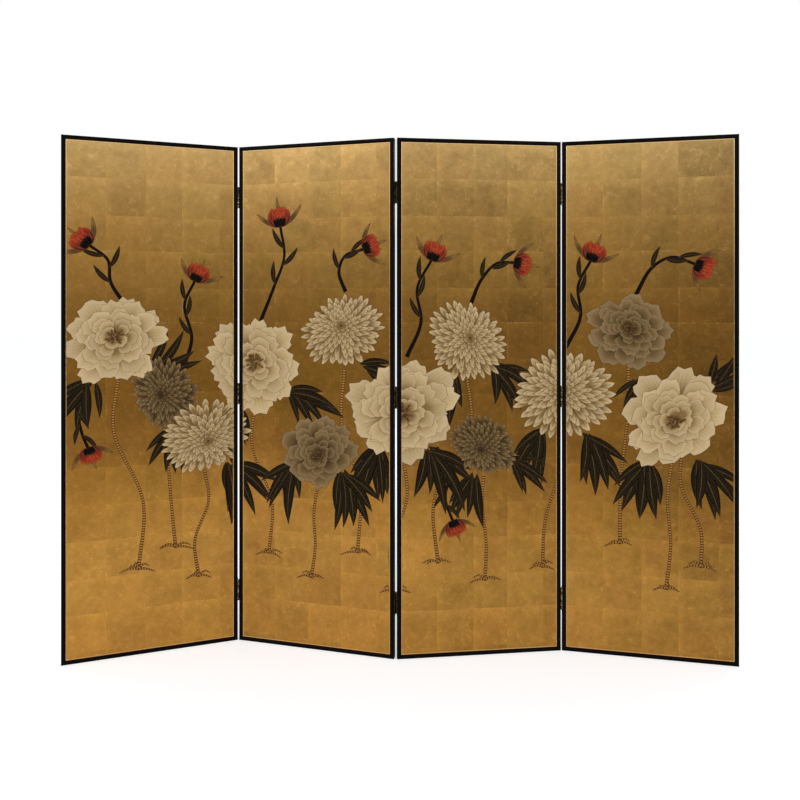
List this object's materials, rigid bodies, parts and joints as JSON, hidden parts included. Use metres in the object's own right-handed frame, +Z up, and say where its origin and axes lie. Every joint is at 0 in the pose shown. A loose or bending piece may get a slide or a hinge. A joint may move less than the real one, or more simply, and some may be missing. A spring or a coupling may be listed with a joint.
{
  "type": "folding screen",
  "caption": "Standing folding screen of hinged lacquer-framed leaves, with a gold-leaf painted front and plain black backs, set in a zigzag.",
  "frame": {"origin": "bottom centre of the screen's box in its zigzag rest pose, on the floor", "axes": "+X to the right seen from the painted front, along the screen's length; +Y towards the back, the shortest extent; +Z up"},
  "size_m": [2.3424, 0.2056, 1.83],
  "materials": {
    "frame_lacquer": "satin black lacquer over hardwood",
    "gold_face": "thin board covered in squares of toned gold leaf, painted with flowers",
    "back_lacquer": "plain matt black lacquer board",
    "core_wood": "raw softwood",
    "hinge_brass": "dark antique brass",
    "hinge_pin_brass": "dark antique brass, rubbed caps",
    "screw_brass": "antique brass, slotted heads",
    "pin_steel": "steel, heads lacquered over"
  },
  "bodies": {
    "panel_2": {"hinge_1_2_bottom_right_leaf": "hinge_brass", "hinge_1_2_middle_right_leaf": "hinge_brass", "hinge_1_2_top_right_leaf": "hinge_brass", "hinge_2_3_bottom_left_leaf": "hinge_brass", "hinge_2_3_middle_left_leaf": "hinge_brass", "hinge_2_3_pins": "hinge_pin_brass", "hinge_2_3_top_left_leaf": "hinge_brass", "panel_2_back_board": "back_lacquer", "panel_2_bottom_rail": "frame_lacquer", "panel_2_core_lattice": "core_wood", "panel_2_face_board": "gold_face", "panel_2_frame_pins": "pin_steel", "panel_2_hinge_screws": "screw_brass", "panel_2_left_stile": "frame_lacquer", "panel_2_right_stile": "frame_lacquer", "panel_2_top_rail": "frame_lacquer"},
    "panel_1": {"hinge_1_2_bottom_left_leaf": "hinge_brass", "hinge_1_2_middle_left_leaf": "hinge_brass", "hinge_1_2_pins": "hinge_pin_brass", "hinge_1_2_top_left_leaf": "hinge_brass", "panel_1_back_board": "back_lacquer", "panel_1_bottom_rail": "frame_lacquer", "panel_1_core_lattice": "core_wood", "panel_1_face_board": "gold_face", "panel_1_frame_pins": "pin_steel", "panel_1_hinge_screws": "screw_brass", "panel_1_left_stile": "frame_lacquer", "panel_1_right_stile": "frame_lacquer", "panel_1_top_rail": "frame_lacquer"},
    "panel_3": {"hinge_2_3_bottom_right_leaf": "hinge_brass", "hinge_2_3_middle_right_leaf": "hinge_brass", "hinge_2_3_top_right_leaf": "hinge_brass", "hinge_3_4_bottom_left_leaf": "hinge_brass", "hinge_3_4_middle_left_leaf": "hinge_brass", "hinge_3_4_pins": "hinge_pin_brass", "hinge_3_4_top_left_leaf": "hinge_brass", "panel_3_back_board": "back_lacquer", "panel_3_bottom_rail": "frame_lacquer", "panel_3_core_lattice": "core_wood", "panel_3_face_board": "gold_face", "panel_3_frame_pins": "pin_steel", "panel_3_hinge_screws": "screw_brass", "panel_3_left_stile": "frame_lacquer", "panel_3_right_stile": "frame_lacquer", "panel_3_top_rail": "frame_lacquer"},
    "panel_4": {"hinge_3_4_bottom_right_leaf": "hinge_brass", "hinge_3_4_middle_right_leaf": "hinge_brass", "hinge_3_4_top_right_leaf": "hinge_brass", "panel_4_back_board": "back_lacquer", "panel_4_bottom_rail": "frame_lacquer", "panel_4_core_lattice": "core_wood", "panel_4_face_board": "gold_face", "panel_4_frame_pins": "pin_steel", "panel_4_hinge_screws": "screw_brass", "panel_4_left_stile": "frame_lacquer", "panel_4_right_stile": "frame_lacquer", "panel_4_top_rail": "frame_lacquer"}
  },
  "joints": [
    {"name": "fold_1_2", "type": "hinge", "parent": "panel_2", "child": "panel_1", "pos_m": [-0.59737, 0.07719, 0.915], "axis": [0, 0, 1], "range_deg": [-30.4, 149.6]},
    {"name": "fold_2_3", "type": "hinge", "parent": "panel_2", "child": "panel_3", "pos_m": [-0.01143, -0.02918, 0.915], "axis": [0, 0, 1], "range_deg": [-18.9, 161.1]},
    {"name": "fold_3_4", "type": "hinge", "parent": "panel_3", "child": "panel_4", "pos_m": [0.58327, 0.00187, 0.915], "axis": [0, 0, 1], "range_deg": [-163.8, 16.2]}
  ]
}
